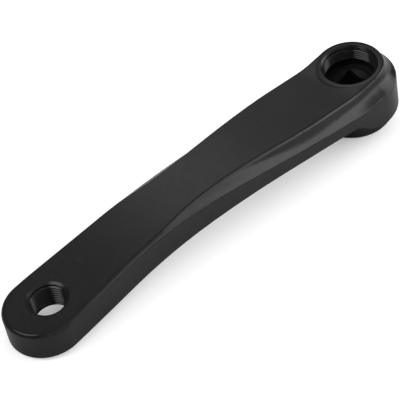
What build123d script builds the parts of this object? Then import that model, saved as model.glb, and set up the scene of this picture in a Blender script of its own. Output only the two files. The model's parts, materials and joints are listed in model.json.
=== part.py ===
"""Left-hand bicycle crank arm, forged in one piece with a square spindle socket and a threaded pedal eye.

The origin lies on the spindle axis in the plane of the inner face, +Z points away from the bicycle
and +X points along the arm towards the pedal. All lengths are in millimetres, all angles in degrees.
"""

import os
from math import atan2, cos, radians, sin, tan

from build123d import *

# Layout of the arm
crank_length = 170.0
rim_height = 27.0
pedal_offset = 19.6
arm_thickness = 13.5
pedal_thickness = 12.6

# Plan: round head, slim waist, round pedal end
head_radius = 18.7
head_bend_reach = 4.5
waist_x = 0.73 * crank_length
waist_half_width = 12.3
waist_reach = 0.14 * crank_length
pedal_end_radius = 14.7
pedal_end_shift = 3.4
pedal_bend_reach = 5.0

# Side view: the arm leaves the head flat, climbs outwards and levels off at the pedal
inner_bend_x = 12.3
inner_bend_reach = 5.0
outer_bend_x = 0.61 * crank_length
outer_bend_reach = 0.26 * crank_length
thinning_start_x = 0.84 * crank_length

# Raised outer face, narrowest in mid-arm, its edges running into the sides before the pedal end
rim_radius = 14.2
plateau_taper_x = 33.0
plateau_waist_x = 0.595 * crank_length
plateau_waist_half_width = 10.2
plateau_run_off_x = 0.87 * crank_length

# Cove between the raised face and the sides: a plain bevel at its start, deep and hollow at the head
cove_start_x = 0.78 * crank_length
cove_full_x = 0.2 * crank_length
cove_depth = 7.5
cove_dive = 87.0
cove_least_hollow = 1.0

# Edges: rounded on the outer side, broken by small chamfers on the inner side
edge_radius = 1.2
edge_width = 0.85 * edge_radius
edge_blend = 0.8
inner_chamfer = 0.6
pad_chamfer = 0.5

# Boss on the inner side
pad_radius = 15.6
flank_angle = 31.0
root_radius = 10.0
root_reach = 28.0
root_steepening = 4.0
root_overlap = 3.0
wall_relief = 0.03

# Faced rim, extractor thread M22 x 1 bored to its major diameter, and square taper socket
facing_depth = 0.1
facing_radius = 12.2
facing_blend = 6.0
extractor_radius = 11.0
extractor_depth = 10.0
extractor_chamfer = 0.75
socket_width = 12.7
socket_taper = 2.0
socket_corner_radius = 1.6
socket_chamfer = 0.6
socket_mouth_radius = 7.8
socket_mouth_depth = 2.5

# Pedal thread 9/16 inch x 20, left-hand, bored to its major diameter
pedal_thread_radius = 7.144
countersink_width = 1.0
countersink_angle = 120.0

# Cross-sections lofted along the arm
arm_steps = 36

# Derived positions
forged_height = rim_height + facing_depth
pedal_face = rim_height + pedal_offset
extractor_floor = rim_height - extractor_depth
pedal_end_x = crank_length + pedal_end_shift
climb = (pedal_face - forged_height) / (outer_bend_x - inner_bend_x)
head_taper = (head_radius - waist_half_width) / (waist_x - head_bend_reach)
pedal_taper = (pedal_end_radius - waist_half_width) / (pedal_end_x - pedal_bend_reach - waist_x)
plateau_flare = (head_radius - plateau_waist_half_width) / (plateau_run_off_x - plateau_waist_x) ** 2


def soft_step(t):
    """Ease from 0 to 1 with level ends."""
    t = min(max(t, 0.0), 1.0)
    return t * t * (3 - 2 * t)


def soft_ramp(x, corner, reach):
    """Rise at 1:1 from the corner on, with the corner rounded over the reach on both sides."""
    run = x - corner
    if abs(run) >= reach:
        return max(run, 0.0)
    return (run + reach) ** 2 / (4 * reach)


def outer_height(x):
    """Height of the raised outer face along the arm."""
    rise = soft_ramp(x, inner_bend_x, inner_bend_reach) - soft_ramp(x, outer_bend_x, outer_bend_reach)
    return forged_height + climb * rise


def thickness(x):
    """Thickness of the arm along its length."""
    share = soft_step((x - thinning_start_x) / (crank_length - thinning_start_x))
    return arm_thickness - (arm_thickness - pedal_thickness) * share


def side_half_width(x):
    """Half the width over the sides along the arm."""
    narrowing = head_taper * soft_ramp(x, head_bend_reach, head_bend_reach)
    widening = (head_taper + pedal_taper) * soft_ramp(x, waist_x, waist_reach)
    levelling = pedal_taper * soft_ramp(x, pedal_end_x - pedal_bend_reach, pedal_bend_reach)
    return head_radius - narrowing + widening - levelling


def plateau_half_width(x):
    """Half the width of the raised outer face along the arm."""
    if x > plateau_waist_x:
        return plateau_waist_half_width + plateau_flare * (x - plateau_waist_x) ** 2
    taper = soft_step((plateau_waist_x - x) / (plateau_waist_x - plateau_taper_x))
    return plateau_waist_half_width + (rim_radius - plateau_waist_half_width) * taper


def section(x, halved=False):
    """Cross-section of the forging: raised face, rounded brows, coves, shoulders and sides."""
    top = outer_height(x)
    base = top - thickness(x)
    side = side_half_width(x)
    width = edge_width + soft_ramp(side - plateau_half_width(x), edge_width, edge_blend)
    share = soft_step((cove_start_x - x) / (cove_start_x - cove_full_x))
    depth = edge_width + (cove_depth - edge_width) * share
    slope = atan2(depth, width)
    dive = slope + max(share * (radians(cove_dive) - slope), radians(cove_least_hollow))
    brow = (side - width, top)
    shoulder = (side, top - depth)
    with BuildSketch(Plane(origin=(x, 0, 0), x_dir=(0, 1, 0), z_dir=(1, 0, 0))) as half:
        with BuildLine():
            Line((0, top), brow)
            TangentArc(brow, shoulder, tangent=(cos(dive), -sin(dive)))
            Polyline(shoulder, (side, base), (0, base), (0, top))
        make_face()
        fillet(half.vertices().group_by(Axis.Y)[-1].sort_by(Axis.X)[-1], edge_radius)
        fillet(half.vertices().group_by(Axis.X)[-1].sort_by(Axis.Y)[-1], edge_radius)
        chamfer(half.vertices().group_by(Axis.X)[-1].sort_by(Axis.Y)[0], inner_chamfer)
        if not halved:
            mirror(about=Plane.YZ)
    return half.sketch


# Boss that carries the socket: turned flank whose root flares out into the underside of the arm
root_rise = atan2(climb, 1) + radians(root_steepening)
root_base = outer_height(root_reach) - thickness(root_reach)
root_slope = tan(root_rise)
flank_slope = tan(radians(flank_angle))
root_height = (root_base - (root_reach - pad_radius) * root_slope) / (1 - root_slope * flank_slope)
root_corner = (pad_radius + root_height * flank_slope, root_height)
root_turn = radians(90 - flank_angle) - root_rise
root_fillet_end = root_corner[0] + root_radius * tan(root_turn / 2) * cos(root_rise)
root_rim_radius = max(root_reach, root_fillet_end) + root_overlap
root_rim = (root_rim_radius, root_base + (root_rim_radius - root_reach) * root_slope)
with BuildPart() as boss:
    with BuildSketch(Plane.XZ) as flank_profile:
        with BuildLine():
            Polyline((0, 0), (pad_radius, 0), root_corner, root_rim, (0, root_rim[1]), close=True)
        make_face()
        fillet(flank_profile.vertices().group_by(Axis.Y)[1], root_radius)
    revolve(axis=Axis.Z)
    with BuildSketch() as trim:
        trim_end_x = root_reach + 2 * root_radius
        trim_stations = [head_bend_reach, 2 * head_bend_reach, trim_end_x]
        trim_sides = [(x, side_half_width(x) - wall_relief) for x in trim_stations]
        with BuildLine():
            RadiusArc((-head_radius, 0), (0, head_radius), head_radius)
            Polyline((0, head_radius), *trim_sides, (trim_end_x, 0))
            mirror(about=Plane.XZ)
        make_face()
    extrude(trim.sketch, amount=forged_height, mode=Mode.INTERSECT)
    chamfer(boss.edges().group_by(Axis.Z)[0], pad_chamfer)

with BuildPart() as crank_arm:
    # Forging: half-turned head, lofted arm and half-turned pedal end
    revolve(section(0, halved=True), axis=Axis.Z, revolution_arc=180)
    loft([section(pedal_end_x * step / arm_steps) for step in range(arm_steps + 1)])
    pedal_axis = Axis((pedal_end_x, 0, 0), (0, 0, 1))
    revolve(section(pedal_end_x, halved=True), axis=pedal_axis, revolution_arc=-180)
    add(boss.part)

    # Rim faced flat round the bore, blending up into the arm
    with BuildSketch(Plane.XZ) as facing:
        with Locations((0, rim_height)):
            Rectangle(facing_radius + facing_blend, pedal_offset, align=(Align.MIN, Align.MIN))
        fillet(facing.vertices().group_by(Axis.Y)[0].sort_by(Axis.X)[-1], facing_blend)
    revolve(axis=Axis.Z, mode=Mode.SUBTRACT)

    # Bore for the extractor thread, with a countersink leading on into the tapered square socket
    with BuildSketch(Plane.XY.offset(rim_height)):
        Circle(extractor_radius)
    extrude(amount=-extractor_depth, mode=Mode.SUBTRACT)
    chamfer(crank_arm.edges(Select.LAST).sort_by(Axis.Z)[-1], extractor_chamfer)
    with BuildSketch():
        RectangleRounded(socket_width, socket_width, socket_corner_radius)
    extrude(amount=extractor_floor + extractor_depth / 2, taper=socket_taper, mode=Mode.SUBTRACT)
    with BuildSketch():
        lead_in = socket_width + 2 * socket_chamfer
        RectangleRounded(lead_in, lead_in, socket_corner_radius + socket_chamfer)
    extrude(amount=socket_chamfer, taper=45, mode=Mode.SUBTRACT)
    with Locations((0, 0, extractor_floor)):
        Cone(
            bottom_radius=socket_mouth_radius - socket_mouth_depth,
            top_radius=socket_mouth_radius,
            height=socket_mouth_depth,
            align=(Align.CENTER, Align.CENTER, Align.MAX),
            mode=Mode.SUBTRACT,
        )

    # Pedal eye, countersunk on both faces
    eye_base = pedal_face - pedal_thickness
    countersink_run = tan(radians(countersink_angle / 2))
    countersink_depth = countersink_width / countersink_run
    cutter_radius = pedal_thread_radius + 2 * countersink_width
    with BuildSketch(Plane.XZ.shift_origin((crank_length, 0, 0))):
        with BuildLine():
            Polyline(
                (0, eye_base - countersink_depth),
                (cutter_radius, eye_base - countersink_depth),
                (pedal_thread_radius, eye_base + countersink_depth),
                (pedal_thread_radius, pedal_face - countersink_depth),
                (cutter_radius, pedal_face + countersink_depth),
                (0, pedal_face + countersink_depth),
                close=True,
            )
        make_face()
    revolve(axis=Axis((crank_length, 0, 0), (0, 0, 1)), mode=Mode.SUBTRACT)

os.makedirs("parts", exist_ok=True)
crank_arm.part.label = "crank_arm"
export_step(crank_arm.part, "parts/crank_arm.step")
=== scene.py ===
"""Bicycle crank arm: finish, threads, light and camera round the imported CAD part."""

import json
import math

import bpy
from mathutils import Matrix, Vector


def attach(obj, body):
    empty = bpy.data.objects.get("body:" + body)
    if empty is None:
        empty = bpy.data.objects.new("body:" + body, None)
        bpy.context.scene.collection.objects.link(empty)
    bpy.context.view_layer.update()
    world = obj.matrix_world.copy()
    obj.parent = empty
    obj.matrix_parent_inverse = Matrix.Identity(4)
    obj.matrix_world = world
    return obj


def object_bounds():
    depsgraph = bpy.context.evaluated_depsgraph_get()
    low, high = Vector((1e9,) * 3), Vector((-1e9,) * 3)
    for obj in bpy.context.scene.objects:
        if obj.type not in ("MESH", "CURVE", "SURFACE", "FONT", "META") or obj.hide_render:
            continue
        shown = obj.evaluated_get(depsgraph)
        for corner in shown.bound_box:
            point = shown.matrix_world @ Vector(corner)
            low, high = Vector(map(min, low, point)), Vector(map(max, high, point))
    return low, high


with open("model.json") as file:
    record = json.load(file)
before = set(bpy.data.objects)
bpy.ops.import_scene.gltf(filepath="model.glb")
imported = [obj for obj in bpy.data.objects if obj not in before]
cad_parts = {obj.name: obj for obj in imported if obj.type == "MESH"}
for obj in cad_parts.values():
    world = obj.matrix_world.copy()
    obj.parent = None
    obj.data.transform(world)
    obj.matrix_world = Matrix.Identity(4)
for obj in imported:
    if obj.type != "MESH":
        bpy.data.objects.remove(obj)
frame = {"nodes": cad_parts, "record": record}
cad_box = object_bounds()
mounts = {mount["name"]: mount for mount in frame["record"]["mounts"]}
scene = bpy.context.scene
scene.view_settings.view_transform = "Standard"

MM = 0.001

# Camera of the photograph: the point it looks at, its bearing in degrees, its distance and its lens
CAMERA_TARGET = Vector((90.882, -0.715, 27.0)) * MM
CAMERA_AZIMUTH = 140.671
CAMERA_ELEVATION = 46.487
CAMERA_ROLL = -11.952
CAMERA_DISTANCE = 693.406 * MM
CAMERA_LENS = 162.1
CAMERA_SENSOR = 36.0
CAMERA_CLIP = (0.01, 50)

# Threads, named after their mounts, in millimetres: pitch, ends of the threaded wall, and spread of the
# chamfer cones there
THREADS = {
    "extractor_thread": dict(pitch=1.0, low=19.6, high=26.25, cone=1.0, left_hand=False),
    "pedal_thread": dict(pitch=1.27, low=34.577, high=46.023, cone=1.732, left_hand=True),
}

# Ridge of a 60 degree thread, in pitches: its height, half its root, half its crest and its eased corners
RIDGE_HEIGHT = 0.5413
RIDGE_ROOT = 0.4375
RIDGE_CREST = 0.10
RIDGE_CORNER = 0.165
RIDGE_CORNER_DROP = 0.07

# Mesh of a ridge: depth of its root inside the wall in millimetres, steps in a turn, turns over which it
# runs out at its ends, share of its height that is left there inside the wall, and the angle in degrees
# from which an edge is sharp
RIDGE_SINK = 0.03
RIDGE_STEPS = 96
RIDGE_RUN_OUT = 0.4
RIDGE_LEAST = 0.04
RIDGE_SHARP_ANGLE = 35

# Coat: colour, index of refraction, roughness, and height of the grain in millimetres
COAT_COLOUR = (0.0165, 0.0165, 0.0171, 1.0)
COAT_IOR = 1.36
FORGED_COAT = dict(roughness=0.24, grain_height=0.002)
THREAD_COAT = dict(roughness=0.20, grain_height=0.001)

# Noise in the coat: waves per millimetre, octaves and roughness, and the range that holds most of its values
BLOTCH = (0.06, 3.0, 0.55)
CLOUD = (0.45, 3.0, 0.6)
GRAIN = (3.2, 2.0, 0.6)
FINE_GRAIN = (9.0, 1.0, 0.5)
NOISE_RANGE = (0.3, 0.7)

# What the noise does: factors on the colour, changes of the roughness, share of the fine grain in the relief
BLOTCH_TONE = (0.86, 1.14)
GRAIN_TONE = (0.9, 1.1)
CLOUD_SHEEN = (-0.035, 0.035)
FINE_SHEEN = (-0.03, 0.03)
FINE_SHARE = 0.35

# Painted shade round the spindle axis, as far as the bore's wall: the radii where it fades out, and its tone
BORE_EDGE = (11.5, 11.8)
BORE_SHADE_TONE = 0.6

# Dull coat with painted shade on faces that look inwards and at the bottom of the bore: where it fades out,
# and what it changes
INNER_FACING = (-0.45, -0.15)
BORE_BOTTOM = (18.0, 20.0)
PAINTED_SHADE_ON_DULL = 0.55
DULL_ROUGHNESS = 0.38

# Floor: half its side and its gap under the arm, in metres, and its colour
FLOOR_REACH = 6.0
FLOOR_GAP = 0.05 * MM
FLOOR_COLOUR = (0.50, 0.50, 0.50, 1.0)

# Contact shadow on the floor: its reach in metres, its samples, and the floor's brightness to the camera and
# in reflections, with the power of the shadow in each
SHADOW_REACH = 0.12
SHADOW_SAMPLES = 8
SEEN_LEVEL = 0.92
SEEN_SHADOW = 0.4
MIRRORED_LEVEL = 0.3
MIRRORED_SHADOW = 3.0

# Soft bright panel behind the arm: the direction of its middle, and its brightness by degrees from there
PANEL_DIRECTION = (-0.575, -0.60, 0.555)
PANEL_FALLOFF = [
    (90, 0.05),
    (30, 0.05),
    (25, 0.13),
    (20, 0.25),
    (16, 0.34),
    (12, 0.46),
    (8, 0.82),
    (4, 1.50),
]

# Soft bright panel beside the head: the direction across its slanted edge, where it fades along that
# direction and along y, and its brightness
SIDE_PANEL_AXIS = (0.622, 0.509, 0.594)
SIDE_PANEL_EDGE = (0.16, 0.30)
SIDE_PANEL_Y = (0.12, 0.32)
SIDE_PANEL_LEVEL = 2.75

# Heights between which the white below the horizon fades into the dark room
HORIZON = (-0.14, -0.09)

# Soft boxes: name, direction towards it, strength, and spread in degrees
SOFT_BOXES = [
    ("right_softbox", (-0.20, 0.80, 0.56), 0.8, 100),
    ("left_softbox", (0.47, -0.27, 0.84), 1.2, 38),
]


class Nodes:
    """Short hand for building a shader node tree."""

    def __init__(self, tree):
        tree.nodes.clear()
        self.tree = tree

    def add(self, kind, inputs=None, **settings):
        node = self.tree.nodes.new(kind)
        for name, value in settings.items():
            setattr(node, name, value)
        for key, value in (inputs or {}).items():
            if isinstance(value, bpy.types.NodeSocket):
                self.tree.links.new(value, node.inputs[key])
            else:
                node.inputs[key].default_value = value
        return node

    def math(self, operation, *values):
        return self.add("ShaderNodeMath", dict(enumerate(values)), operation=operation).outputs[0]

    def plus(self, a, b):
        return self.math("ADD", a, b)

    def times(self, a, b):
        return self.math("MULTIPLY", a, b)

    def larger(self, a, b):
        return self.math("MAXIMUM", a, b)

    def dot(self, vector, direction):
        inputs = {0: vector, 1: direction}
        return self.add("ShaderNodeVectorMath", inputs, operation="DOT_PRODUCT").outputs["Value"]

    def split(self, vector):
        return self.add("ShaderNodeSeparateXYZ", {0: vector}).outputs

    def noise(self, vector, scale, detail, rough):
        inputs = {"Vector": vector, "Scale": scale, "Detail": detail, "Roughness": rough}
        return self.add("ShaderNodeTexNoise", inputs).outputs["Fac"]

    def span(self, value, low, high, out_low, out_high):
        inputs = {"Value": value, "From Min": low, "From Max": high, "To Min": out_low, "To Max": out_high}
        return self.add("ShaderNodeMapRange", inputs).outputs["Result"]


def forged_masks(nodes, place, normal):
    """Masks of what lies within the bore's radius, and of the dull faces in it and on the inner side; both
    carry painted shade.
    """
    x, y, z = nodes.split(place)
    from_axis = nodes.math("SQRT", nodes.plus(nodes.times(x, x), nodes.times(y, y)))
    in_bore = nodes.span(from_axis, *BORE_EDGE, 1.0, 0.0)
    bottom = nodes.times(in_bore, nodes.span(z, *BORE_BOTTOM, 1.0, 0.0))
    inner = nodes.span(nodes.split(normal)["Z"], *INNER_FACING, 1.0, 0.0)
    return in_bore, nodes.larger(inner, bottom)


def black_coat(name, roughness, grain_height, forged=False):
    """Satin black coat: soft blotches, fine grain and a slightly uneven sheen.

    On the forging it has painted shade in the bore, and is dull, with painted shade, at the bottom of the
    bore and on the inner side.
    """
    material = bpy.data.materials.new(name)
    material.use_nodes = True
    nodes = Nodes(material.node_tree)
    coordinates = nodes.add("ShaderNodeTexCoord").outputs
    scaled = {0: coordinates["Object"], "Scale": 1 / MM}
    place = nodes.add("ShaderNodeVectorMath", scaled, operation="SCALE").outputs[0]
    blotch = nodes.noise(place, *BLOTCH)
    cloud = nodes.noise(place, *CLOUD)
    grain = nodes.noise(place, *GRAIN)
    fine = nodes.noise(place, *FINE_GRAIN)

    blotch_tone = nodes.span(blotch, *NOISE_RANGE, *BLOTCH_TONE)
    grain_tone = nodes.span(grain, *NOISE_RANGE, *GRAIN_TONE)
    tone = nodes.times(blotch_tone, grain_tone)
    cloud_sheen = nodes.span(cloud, *NOISE_RANGE, *CLOUD_SHEEN)
    fine_sheen = nodes.span(fine, *NOISE_RANGE, *FINE_SHEEN)
    rough = nodes.plus(nodes.plus(cloud_sheen, fine_sheen), roughness)
    relief = nodes.plus(nodes.times(grain, 1 - FINE_SHARE), nodes.times(fine, FINE_SHARE))
    height = nodes.times(relief, grain_height)
    if forged:
        in_bore, dull_and_shade = forged_masks(nodes, place, coordinates["Normal"])
        # Painted shade: darker where faces look inwards and at the bottom of the bore, which are also
        # rougher
        tone = nodes.times(tone, nodes.span(dull_and_shade, 0.0, 1.0, 1.0, PAINTED_SHADE_ON_DULL))
        # Painted shade: darker colour within the bore's radius
        tone = nodes.times(tone, nodes.span(in_bore, 0.0, 1.0, 1.0, BORE_SHADE_TONE))
        rough = nodes.plus(rough, nodes.times(dull_and_shade, DULL_ROUGHNESS))

    colour = nodes.add("ShaderNodeHueSaturation", {"Color": COAT_COLOUR, "Value": tone})
    bump = nodes.add("ShaderNodeBump", {"Height": height, "Strength": 1.0, "Distance": MM})
    shader = nodes.add("ShaderNodeBsdfPrincipled", {
        "Base Color": colour.outputs["Color"],
        "Roughness": rough,
        "Normal": bump.outputs["Normal"],
        "Metallic": 0.0,
        "IOR": COAT_IOR,
    })
    nodes.add("ShaderNodeOutputMaterial", {"Surface": shader.outputs["BSDF"]})
    return material


def ridge_profile(wall, pitch):
    """Radius and height of the ridge's corners, from its lower root over the crest to its upper root."""
    crest = wall - RIDGE_HEIGHT * pitch
    upper = [
        (crest, RIDGE_CREST * pitch),
        (crest + RIDGE_CORNER_DROP * pitch, RIDGE_CORNER * pitch),
        (wall + RIDGE_SINK, RIDGE_ROOT * pitch),
    ]
    lower = [(radius, -height) for radius, height in reversed(upper)]
    return lower + upper


def thread(name, material, pitch, low, high, cone, left_hand):
    """Internal 60 degree thread as one closed helical ridge, cut back by the chamfer cones at its ends."""
    centre_x = mounts[name]["pos_m"][0] / MM
    wall = mounts[name]["dims"]["r_mm"]
    profile = ridge_profile(wall, pitch)
    corners = len(profile)
    root, half_root = profile[-1]
    turns = (high - low - 2 * half_root) / pitch
    steps = int(turns * RIDGE_STEPS)
    hand = -1 if left_hand else 1

    verts = []
    for step in range(steps + 1):
        turn = step / RIDGE_STEPS
        angle = hand * 2 * math.pi * turn
        middle = low + half_root + turn * pitch
        fade = min(max(min(turn, turns - turn) / RIDGE_RUN_OUT, RIDGE_LEAST), 1.0)
        for radius, height in profile:
            z = middle + height
            cone_radius = wall + cone * max(z - high, low - z)
            faded_radius = root - (root - radius) * fade
            r = min(max(faded_radius, cone_radius), root)
            x = centre_x + r * math.cos(angle)
            y = r * math.sin(angle)
            verts.append((x * MM, y * MM, z * MM))

    faces = []
    for step in range(steps):
        for corner in range(corners):
            a = step * corners + corner
            b = step * corners + (corner + 1) % corners
            faces.append((a, b, b + corners, a + corners))
    faces.append(tuple(reversed(range(corners))))
    faces.append(tuple(range(steps * corners, len(verts))))
    if left_hand:
        faces = [tuple(reversed(face)) for face in faces]

    mesh = bpy.data.meshes.new(name)
    mesh.from_pydata(verts, [], faces)
    mesh.shade_smooth()
    mesh.set_sharp_from_angle(angle=math.radians(RIDGE_SHARP_ANGLE))
    mesh.materials.append(material)
    ridge = bpy.data.objects.new(name, mesh)
    scene.collection.objects.link(ridge)
    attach(ridge, "root")


def lower_hull(points):
    """Lower convex outline of points (x, z), from the least x to the greatest."""
    hull = []
    for x, z in sorted(points):
        while len(hull) > 1:
            (x0, z0), (x1, z1) = hull[-2:]
            if (x1 - x0) * (z - z0) > (z1 - z0) * (x - x0):
                break
            hull.pop()
        hull.append((x, z))
    return hull


def white_paper():
    """White to the camera, dimmer in reflections, with a soft contact shadow, and clear from below."""
    material = bpy.data.materials.new("white_paper")
    material.use_nodes = True
    nodes = Nodes(material.node_tree)
    ray = nodes.add("ShaderNodeLightPath").outputs
    nearness = nodes.add("ShaderNodeAmbientOcclusion", {"Distance": SHADOW_REACH}, samples=SHADOW_SAMPLES)
    open_sky = nearness.outputs["AO"]
    seen = nodes.times(ray["Is Camera Ray"], nodes.math("POWER", open_sky, SEEN_SHADOW))
    reflected = nodes.larger(ray["Is Glossy Ray"], ray["Is Transmission Ray"])
    mirrored = nodes.times(reflected, nodes.math("POWER", open_sky, MIRRORED_SHADOW))
    level = nodes.plus(nodes.times(seen, SEEN_LEVEL), nodes.times(mirrored, MIRRORED_LEVEL))
    glow = nodes.add("ShaderNodeEmission", {"Color": (1, 1, 1, 1), "Strength": level})
    matt = nodes.add("ShaderNodeBsdfDiffuse", {"Color": FLOOR_COLOUR})
    above = nodes.add("ShaderNodeAddShader", {0: glow.outputs[0], 1: matt.outputs[0]})
    clear = nodes.add("ShaderNodeBsdfTransparent")
    from_below = nodes.add("ShaderNodeNewGeometry").outputs["Backfacing"]
    sides = nodes.add("ShaderNodeMixShader", {0: from_below, 1: above.outputs[0], 2: clear.outputs[0]})
    nodes.add("ShaderNodeOutputMaterial", {"Surface": sides.outputs[0]})
    return material


def lay_floor(arm):
    """Floor in the plane that the arm lies on, through the boss and the pedal end."""
    hull = lower_hull((round(v.co.x, 6), round(v.co.z, 6)) for v in arm.data.vertices)
    middle = (cad_box[0].x + cad_box[1].x) / 2
    boss, pedal_end = next((a, b) for a, b in zip(hull, hull[1:]) if a[0] <= middle <= b[0])
    slope = (pedal_end[1] - boss[1]) / (pedal_end[0] - boss[0])
    corners = []
    for x_sign, y_sign in ((-1, -1), (1, -1), (1, 1), (-1, 1)):
        x = x_sign * FLOOR_REACH
        z = boss[1] + slope * (x - boss[0]) - FLOOR_GAP
        corners.append((x, y_sign * FLOOR_REACH, z))
    mesh = bpy.data.meshes.new("floor")
    mesh.from_pydata(corners, [], [(0, 1, 2, 3)])
    mesh.materials.append(white_paper())
    floor = bpy.data.objects.new("floor", mesh)
    scene.collection.objects.link(floor)


def surround():
    """Dark room with soft bright panels behind the arm and beside the head, white below the horizon."""
    world = bpy.data.worlds.new("surround")
    world.use_nodes = True
    nodes = Nodes(world.node_tree)
    direction = nodes.add("ShaderNodeTexCoord").outputs["Generated"]
    _, sideways, up = nodes.split(direction)

    ramp = nodes.add("ShaderNodeValToRGB", {"Fac": nodes.dot(direction, PANEL_DIRECTION)})
    stops = ramp.color_ramp.elements
    while len(stops) < len(PANEL_FALLOFF):
        stops.new(0.5)
    for stop, (angle, level) in zip(stops, PANEL_FALLOFF):
        stop.position = math.cos(math.radians(angle))
        stop.color = (level, level, level, 1)

    edge = nodes.span(nodes.dot(direction, SIDE_PANEL_AXIS), *SIDE_PANEL_EDGE, SIDE_PANEL_LEVEL, 0.0)
    side_panel = nodes.times(edge, nodes.span(sideways, *SIDE_PANEL_Y, 0.0, 1.0))
    panels = nodes.larger(ramp.outputs["Color"], side_panel)
    brightness = nodes.larger(panels, nodes.span(up, *HORIZON, 1.0, 0.0))
    sky = nodes.add("ShaderNodeBackground", {"Color": brightness, "Strength": 1.0})
    nodes.add("ShaderNodeOutputWorld", {"Surface": sky.outputs[0]})
    return world


def soft_sun(name, towards, strength, spread):
    """Even, soft light that falls from the given direction."""
    lamp = bpy.data.lights.new(name, "SUN")
    lamp.energy = strength
    lamp.angle = math.radians(spread)
    sun = bpy.data.objects.new(name, lamp)
    sun.rotation_mode = "QUATERNION"
    sun.rotation_quaternion = Vector(towards).to_track_quat("Z", "Y")
    scene.collection.objects.link(sun)


def photo_camera():
    """Camera at the photograph's place, turned to its target and rolled."""
    azimuth = math.radians(CAMERA_AZIMUTH)
    elevation = math.radians(CAMERA_ELEVATION)
    roll = math.radians(CAMERA_ROLL)
    back = Vector((
        math.sin(azimuth) * math.cos(elevation),
        -math.cos(azimuth) * math.cos(elevation),
        math.sin(elevation),
    ))
    level_right = Vector((math.cos(azimuth), math.sin(azimuth), 0))
    level_up = back.cross(level_right)
    right = level_right * math.cos(roll) + level_up * math.sin(roll)
    top = level_up * math.cos(roll) - level_right * math.sin(roll)
    turn = Matrix((right, top, back)).transposed()

    camera = bpy.data.objects.new("camera", bpy.data.cameras.new("camera"))
    camera.data.lens = CAMERA_LENS
    camera.data.sensor_width = CAMERA_SENSOR
    camera.data.clip_start, camera.data.clip_end = CAMERA_CLIP
    camera.matrix_world = Matrix.Translation(CAMERA_TARGET + back * CAMERA_DISTANCE) @ turn.to_4x4()
    scene.collection.objects.link(camera)
    return camera


# The CAD solid carries the forged coat, with painted shade in the bore and on the inner side
arm = frame["nodes"]["crank_arm"]
arm.data.materials.clear()
arm.data.materials.append(black_coat("satin_black", **FORGED_COAT, forged=True))

# Cut threads, a little shinier than the forging
thread_coat = black_coat("thread_black", **THREAD_COAT)
for thread_name, thread_sizes in THREADS.items():
    thread(thread_name, thread_coat, **thread_sizes)

# Studio
lay_floor(arm)
scene.world = surround()
for soft_box in SOFT_BOXES:
    soft_sun(*soft_box)
scene.camera = photo_camera()
